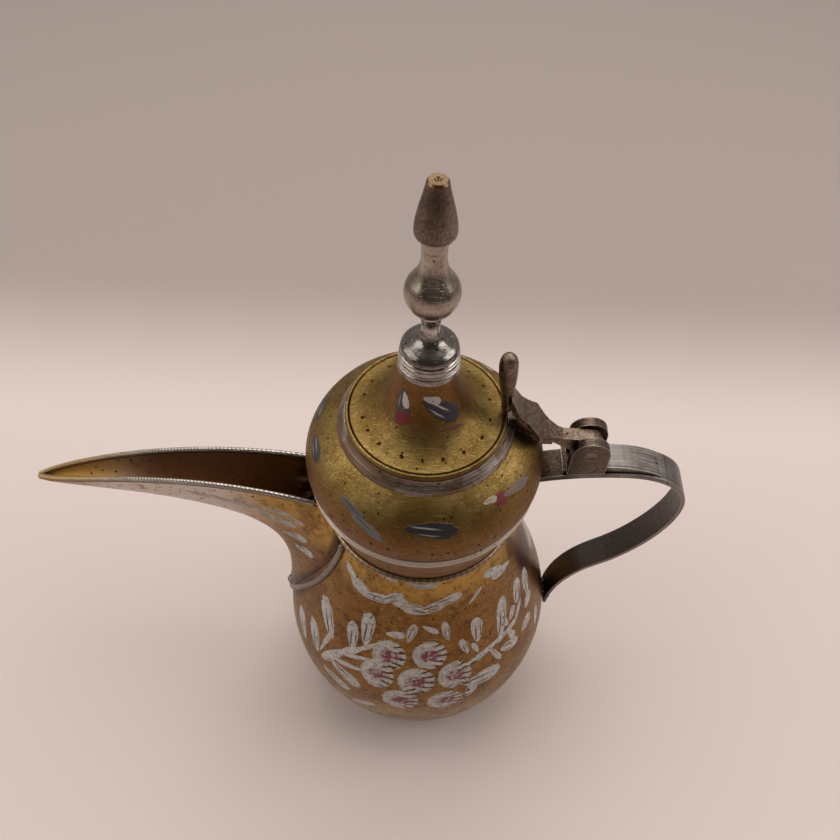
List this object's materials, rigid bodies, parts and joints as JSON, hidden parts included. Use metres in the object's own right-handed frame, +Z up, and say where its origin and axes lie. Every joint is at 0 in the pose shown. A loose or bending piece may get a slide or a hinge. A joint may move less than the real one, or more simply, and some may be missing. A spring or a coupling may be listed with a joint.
{
  "type": "dallah coffee pot",
  "caption": "Beak-spouted coffee pot with a pear-shaped bowl, flared collar, domed hinged lid, turned finial, lever with thumb piece and a curved strap handle.",
  "frame": {"origin": "centre of the flat bottom, on the surface the pot stands on", "axes": "+Z up along the pot's axis, the spout points to -X and the handle to +X"},
  "size_m": [0.2746, 0.129, 0.3108],
  "materials": {
    "bowl_brass": "worn lacquered brass with painted white flowers",
    "collar_brass": "worn turned brass",
    "lid_brass": "yellow brass with rows of punched dots",
    "bare_metal": "bare grey tinned metal, scratched",
    "strap_steel": "filed grey metal",
    "nickel_plate": "polished nickel plate with wear",
    "dark_bronze": "dark worn bronze",
    "cast_bronze": "pitted cast bronze, rubbed on the edges"
  },
  "bodies": {
    "pot": {"bowl_shell": "bowl_brass", "base_disc": "bowl_brass", "collar_shell": "collar_brass", "joint_ring": "bare_metal", "mouth_hoop": "bare_metal", "spout_shell": "bowl_brass", "spout_edge_wire": "bare_metal", "handle_strap": "strap_steel", "handle_rivets": "strap_steel", "hinge_bracket": "strap_steel", "hinge_pin": "cast_bronze"},
    "lid": {"lid_dome": "lid_brass", "lid_plug": "bare_metal", "lid_band": "bare_metal", "lid_crown": "lid_brass", "finial_cup": "nickel_plate", "finial_knop": "nickel_plate", "finial_tip": "dark_bronze", "finial_rod": "strap_steel", "rod_washer": "strap_steel", "rod_nut": "strap_steel", "lid_lever": "cast_bronze", "thumb_piece": "cast_bronze", "lever_rivets": "cast_bronze"}
  },
  "joints": [
    {"name": "lid_hinge", "type": "hinge", "parent": "pot", "child": "lid", "pos_m": [0.0642, 0, 0.1906], "axis": [0, 1, 0], "range_deg": [0, 100]}
  ]
}
